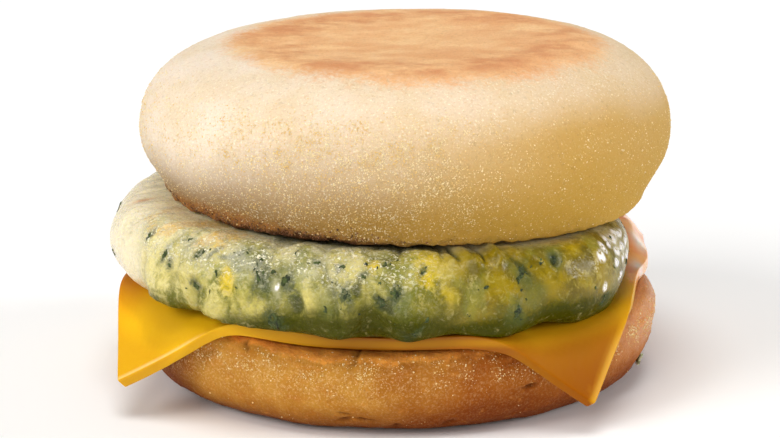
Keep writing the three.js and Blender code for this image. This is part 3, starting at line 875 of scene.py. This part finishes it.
# Top muffin half. The same bread, pale and floury at the side, browned flat on top by the griddle and
# toasted along the cut edge. Cornmeal from the baking sheet sticks to its side in fine grains.
griddle_middle = (3.5, -3)
griddle_radius = 32.5
top_side_radii = (38, 41)
top_edge_radii = (30, 36)
griddle_heights = (18, 22)
shoulder_heights = (16, 24)
toasted_at, charred_at = -136, -118
golden_shoulder = (14, 30, 35, 44)

top = fine_copy("top_muffin_half", "top_muffin", 3)
points = points_of(top)
x, y, z = points.T
from_middle = points - np.array([top_x, 0, 0])
angles = np.degrees(np.arctan2(from_middle[:, 1], from_middle[:, 0]))
radii = np.hypot(from_middle[:, 0], from_middle[:, 1])
height = z - cut_z - (x - top_x) * cut_slope
from_griddle = np.hypot(x - griddle_middle[0], y - griddle_middle[1])
from_griddle += 1.6 * ripple(points, 9, 50) + 1 * ripple(points, 3, 49)
griddled = (1 - step(from_griddle, griddle_radius - 5, griddle_radius + 5)) * step(height, *griddle_heights)
lumps = 0.25 * ripple(points, (14, 14, 8), 51) + 0.08 * ripple(points, (4, 4, 3), 52)
floury = step(height, 1, 6) * (1 - 0.7 * griddled)
skin = (0.05 * ripple(points, 1.1, 53) + 0.05 * ripple(points, 0.6, 54)) * floury
baked = 0.06 * griddled * ripple(points, (3, 3, 2), 55)
edge_band = (1 - step(height, 0.4, 3.2)) * step(radii, *top_side_radii)
torn = edge_band * (0.5 * ripple(points, (2, 2, 1.2), 56) + 0.25 * ripple(points, 0.9, 57))
torn *= 1 - 0.65 * step(x, 8, 28)
raise_surface(top, np.where(height > 0.3, lumps + skin + baked, 0) + torn)
left_front = towards(angles, toasted_at, 38)
toast_height = 1 + 4.4 * left_front + 0.6 * ripple(points, (6, 6, 4), 58)
toast = (1 - step(height, -0.5, toast_height)) * (0.25 + 0.75 * left_front)
paint(top, "toast", toast * step(radii, *top_edge_radii))
paint(top, "griddle", griddled)
charred = (1 - step(height, 0.2, 2)) * towards(angles, charred_at, 26)
paint(top, "char", charred * step(radii, *top_edge_radii))
paint(top, "ring", hump(from_griddle, griddle_radius - 7.5, 6) * griddled)
golden = step(x + 5 * ripple(points, 16, 59), -36, 32)
below_shoulder = height - 2 * within(x, *golden_shoulder)
paint(top, "golden", golden * (1 - 0.62 * step(below_shoulder, *shoulder_heights)))
# Painted shade: the lower side of the top half is painted darker.
low_from = 3 * step(x, -35, 0)
low_to = 13 + 7 * step(x, -40, -20)
paint(top, "low", 1 - step(height + 1.5 * ripple(points, 14, 60), low_from, low_to))

crust = Finish("pale_floury_crust", 0.6, soft=0.25, soft_depth=1.2, soft_tint=(1, 0.6, 0.3), gloss=0.06)
soft_mottle = crust.between(crust.cloud(10, 3), 0.35, 0.7)
crust.colour = crust.mixed(soft_mottle, (240, 222, 200), (232, 211, 180))
crust.cover("golden", (197, 155, 78), 0.95)
# Painted shade on the lower side.
crust.cover("low", crust.mixed("golden", (134, 97, 44), (191, 149, 58)), 0.95)
speck = crust.between(crust.cloud(0.42, 2, 0.5), 0.56, 0.7)
crust.cover(speck, (206, 158, 92), 0.3)
dust = crust.between(crust.cloud(0.36, 2, 0.5, shift=(5, 3, 1)), 0.58, 0.7)
crust.cover(crust.times(dust, crust.between("golden", 0.3, 0.9, 0.5, 0.1)), (255, 248, 222))
burn = crust.between(crust.cloud(9, 5, 0.62, (1.3, 1, 1)), 0.36, 0.66)
griddle = crust.mixed(burn, (244, 200, 146), (232, 174, 122))
scorch = crust.between(crust.cloud(7, 5, 0.62, (1.3, 1, 1), (8, 3, 0)), 0.36, 0.64)
scorch_share = crust.times(scorch, crust.between("ring", 0, 1, 0.2, 0.85))
griddle = crust.mixed(scorch_share, griddle, (208, 138, 92))
fine = crust.between(crust.cloud(0.6, 3, 0.6, shift=(3, 8, 2)), 0.45, 0.65)
griddle = crust.mixed(crust.times(fine, 0.22), griddle, (206, 138, 88))
patch = crust.ragged("griddle", crust.cloud(0.9, 4, 0.7, shift=(1, 6, 4)), 0.22, 0.1, 0.95)
crust.cover(patch, griddle)
toast_grain = crust.ragged("toast", crust.cloud(0.7, 4, 0.65), 0.22, 0.05, 0.8)
crust.cover(toast_grain, (164, 110, 56))
char_grain = crust.ragged("char", crust.cloud(0.9, 4, 0.65, shift=(7, 7, 1)), 0.3, 0.1, 0.8)
crust.cover(char_grain, (74, 46, 28), 0.95)
crust.done(top, crust.dented(crust.cloud(0.5, 4, 0.65), 0.3))
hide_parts("top_muffin_half")
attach(top, "root")

# Cornmeal and flour grains. Fine yellow-white grits stuck to the crust, most of them in a belt low on
# the front of the top half and just under the cheese on the bottom half, each half sunk in the bread.
top_grains, bottom_grains, crumb_count = 20000, 5000, 900
top_grain_radii, bottom_grain_radii, crumb_radii = (0.05, 0.18), (0.06, 0.2), (0.08, 0.24)
top_belt_height, bottom_belt_z = 14.5, 11.8
top_belt_at, crumbs_at = -96, -130


def scattered(name, host, density, count, sizes, seed):
    """Many small grains joined into one mesh, on the faces of host where density is high."""
    host.data.calc_loop_triangles()
    corners = points_of(host)
    faces = np.array([t.vertices[:] for t in host.data.loop_triangles])
    first, second, third = (corners[faces[:, k]] for k in range(3))
    cross = np.cross(second - first, third - first)
    area = np.linalg.norm(cross, axis=1)
    centres = (first + second + third) / 3
    weight = area * density(centres)
    draws = np.random.default_rng(seed)
    chosen = draws.choice(len(faces), count, p=weight / weight.sum())
    shares = np.sort(draws.random((count, 2)), axis=1)
    spots = (
        first[chosen] * shares[:, :1]
        + second[chosen] * (shares[:, 1:] - shares[:, :1])
        + third[chosen] * (1 - shares[:, 1:])
    )
    bm = bmesh.new()
    bmesh.ops.create_uvsphere(bm, u_segments=4, v_segments=2, radius=1)
    grain = np.array([v.co for v in bm.verts])
    grain_faces = np.array([[v.index for v in f.verts] for f in bm.faces])
    bm.free()
    smallest, largest = sizes
    sizes_drawn = smallest + (largest - smallest) * draws.random(count) ** 3
    stretches = 1 + 0.35 * (draws.random((count, 3)) - 0.5) * 2
    turns = np.array([Quaternion(q).normalized().to_matrix() for q in draws.normal(size=(count, 4))])
    shaped = grain[None] * stretches[:, None] * sizes_drawn[:, None, None]
    moved = np.einsum("nij,nkj->nki", turns, shaped) + spots[:, None]
    all_faces = grain_faces[None] + (np.arange(count) * len(grain))[:, None, None]
    mesh = bpy.data.meshes.new(name)
    mesh.from_pydata((moved.reshape(-1, 3) * to_metres).tolist(), [], all_faces.reshape(-1, 3).tolist())
    return placed(name, mesh)


def from_cut(places):
    """The direction and the height above the cut face, for places on the top half."""
    angles = np.degrees(np.arctan2(places[:, 1], places[:, 0] - top_x))
    return angles, places[:, 2] - cut_z - (places[:, 0] - top_x) * cut_slope


def top_belt(places):
    angles, height = from_cut(places)
    sideways = turn_gap(angles, top_belt_at)
    along = 0.14 - 0.1 * step(sideways, 0, 40) + 0.86 * hump(sideways, 0, np.where(sideways < 0, 32, 23))
    belt = (0.2 * hump(height, 6, 6) + hump(height, top_belt_height, 5.5)) * along
    clumps = step(ripple(places, 3, 70) + 0.7 * ripple(places, 11, 71), -0.4, 0.7)
    return (belt * (0.2 + 0.8 * clumps) + 0.015) * step(height, 0.3, 1) * (1 - step(height, 20, 24))


def bottom_belt(places):
    clumps = step(ripple(places, 3, 72), -0.4, 0.6)
    belt = hump(places[:, 2], bottom_belt_z, 1.9) * step(np.hypot(places[:, 0], places[:, 1]), 42, 44)
    return (belt * clumps + 0.004) * step(places[:, 2], 0.5, 1.5)


def toasted_edge(places):
    angles, height = from_cut(places)
    near_edge = hump(height, 0.9, 1.1) * step(height, 0.15, 0.5)
    return near_edge * towards(angles, crumbs_at, 26)


meal = Finish("cornmeal", 0.38, soft=0.2, soft_depth=0.3, soft_tint=(1, 0.8, 0.4), gloss=0.6)
meal.colour = meal.mixed(meal.between(meal.cloud(1.3, 2), 0.42, 0.58), (245, 222, 170), (228, 190, 116))
char = Finish("toasted_crumbs", 0.55, soft=0.1, soft_depth=0.4, gloss=0.4)
char.colour = char.mixed(char.between(char.cloud(1, 2), 0.42, 0.58), (150, 100, 62), (84, 54, 34))
top_meal = scattered("top_cornmeal", top, top_belt, top_grains, top_grain_radii, 3)
bottom_meal = scattered("bottom_cornmeal", bottom, bottom_belt, bottom_grains, bottom_grain_radii, 4)
crumbs = scattered("toasted_crumbs", top, toasted_edge, crumb_count, crumb_radii, 5)
meal.done(top_meal, meal.dented(meal.cloud(0.3, 2), 0.05))
meal.put_on(bottom_meal)
char.done(crumbs, char.dented(char.cloud(0.3, 2), 0.05))
stuck_on = ((top_meal, "top_muffin_half"), (bottom_meal, "bottom_muffin_half"), (crumbs, "top_muffin_half"))
for grains, slot in stuck_on:
    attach(grains, "root")

# A chip of dried herb, stuck to the right end of the bottom half. A thin scrap of pale leaf, bent from a
# small grid and laid against the crust where a line from the right meets it.
chip_from = Vector((70, -13, 4))
chip_long, chip_wide, chip_thick = 1.3, 0.8, 0.25
hit, outward, _, _ = surface_of(bottom).ray_cast(chip_from * to_metres, Vector((-1, 0.15, 0)))
bm = bmesh.new()
bmesh.ops.create_grid(bm, x_segments=8, y_segments=6, size=1)
for vert in bm.verts:
    round_off = 1 - 0.3 * max(abs(vert.co.x), abs(vert.co.y)) ** 4
    curl = 0.45 * vert.co.x ** 2 + 0.25 * noise.noise((vert.co.x * 2, vert.co.y * 2, 5.1))
    vert.co = (vert.co.x * chip_wide * round_off, vert.co.y * chip_long * round_off, curl)
upright = outward.to_track_quat("Z", "Y").to_matrix().to_4x4()
bmesh.ops.scale(bm, vec=[to_metres] * 3, verts=bm.verts)
bmesh.ops.transform(bm, matrix=Matrix.Translation(hit + outward * 0.15 * to_metres) @ upright, verts=bm.verts)
chip = made("herb_chip", bm)
thick = chip.modifiers.new("thickness", "SOLIDIFY")
thick.thickness = chip_thick * to_metres
herb = Finish("dried_herb", 0.5, soft=0.2, soft_depth=0.4, soft_tint=(0.5, 1, 0.4), gloss=0.4)
herb.colour = herb.mixed(herb.between(herb.cloud(0.8, 3), 0.4, 0.6), (214, 212, 178), (120, 118, 66))
herb.done(chip, herb.dented(herb.cloud(0.4, 3), 0.2))
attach(chip, "root")

# The pale studio floor, four soft far lights and the camera. The camera stands where the photograph was
# taken from, and a small shift of its aim puts the sandwich at the same place in the frame.
floor_size = 6
bm = bmesh.new()
bmesh.ops.create_grid(bm, x_segments=1, y_segments=1, size=floor_size / 2)
floor = made("floor", bm)
floor_finish = Finish("pale_floor", 0.7)
floor_finish.colour = (0.97, 0.97, 0.97, 1)
floor_finish.done(floor)


def far_light(name, azimuth, elevation, spread, strength, colour=(1, 1, 1)):
    """A wide soft light from far off; azimuth 0 is the front and 90 the right, and all are in degrees."""
    lamp = bpy.data.lights.new(name, "SUN")
    lamp.energy = strength
    lamp.angle = math.radians(spread)
    lamp.color = colour
    a, e = math.radians(azimuth), math.radians(elevation)
    away = Vector((math.sin(a) * math.cos(e), -math.cos(a) * math.cos(e), math.sin(e)))
    placed(name, lamp).rotation_euler = away.to_track_quat("Z", "Y").to_euler()


warm_white = (1, 0.99, 0.975)
far_light("left", -52, 34, 30, 1.45, warm_white)
far_light("front", -8, 14, 30, 0.75, warm_white)
far_light("above", -10, 76, 34, 1.6, warm_white)
far_light("right", 92, 18, 20, 1.3)
world = bpy.data.worlds.new("studio")
world.use_nodes = True
background = world.node_tree.nodes["Background"]
background.inputs["Color"].default_value = (1, 1, 1, 1)
background.inputs["Strength"].default_value = 0.22
bpy.context.scene.world = world
bpy.context.scene.view_settings.view_transform = "Standard"

middle = Vector((0, 0, 29)) * to_metres
camera_elevation = math.radians(13.53)
camera_distance = 519
pixels_per_mm = 5.65
photo_width, photo_height = 780, 438
middle_in_photo = (396.4, 208.3)
sensor_width = 36
off_right = (middle_in_photo[0] - photo_width / 2) / pixels_per_mm
off_up = (photo_height / 2 - middle_in_photo[1]) / pixels_per_mm / math.cos(camera_elevation)
aim = middle - Vector((off_right, 0, off_up)) * to_metres
lens = bpy.data.cameras.new("camera")
lens.sensor_width = sensor_width
lens.lens = sensor_width * pixels_per_mm * camera_distance / photo_width
camera = placed("camera", lens)
away = Vector((0, -math.cos(camera_elevation), math.sin(camera_elevation)))
camera.location = middle + away * camera_distance * to_metres
camera.rotation_euler = (camera.location - aim).to_track_quat("Z", "Y").to_euler()
lens.clip_start = 0.01
bpy.context.scene.camera = camera
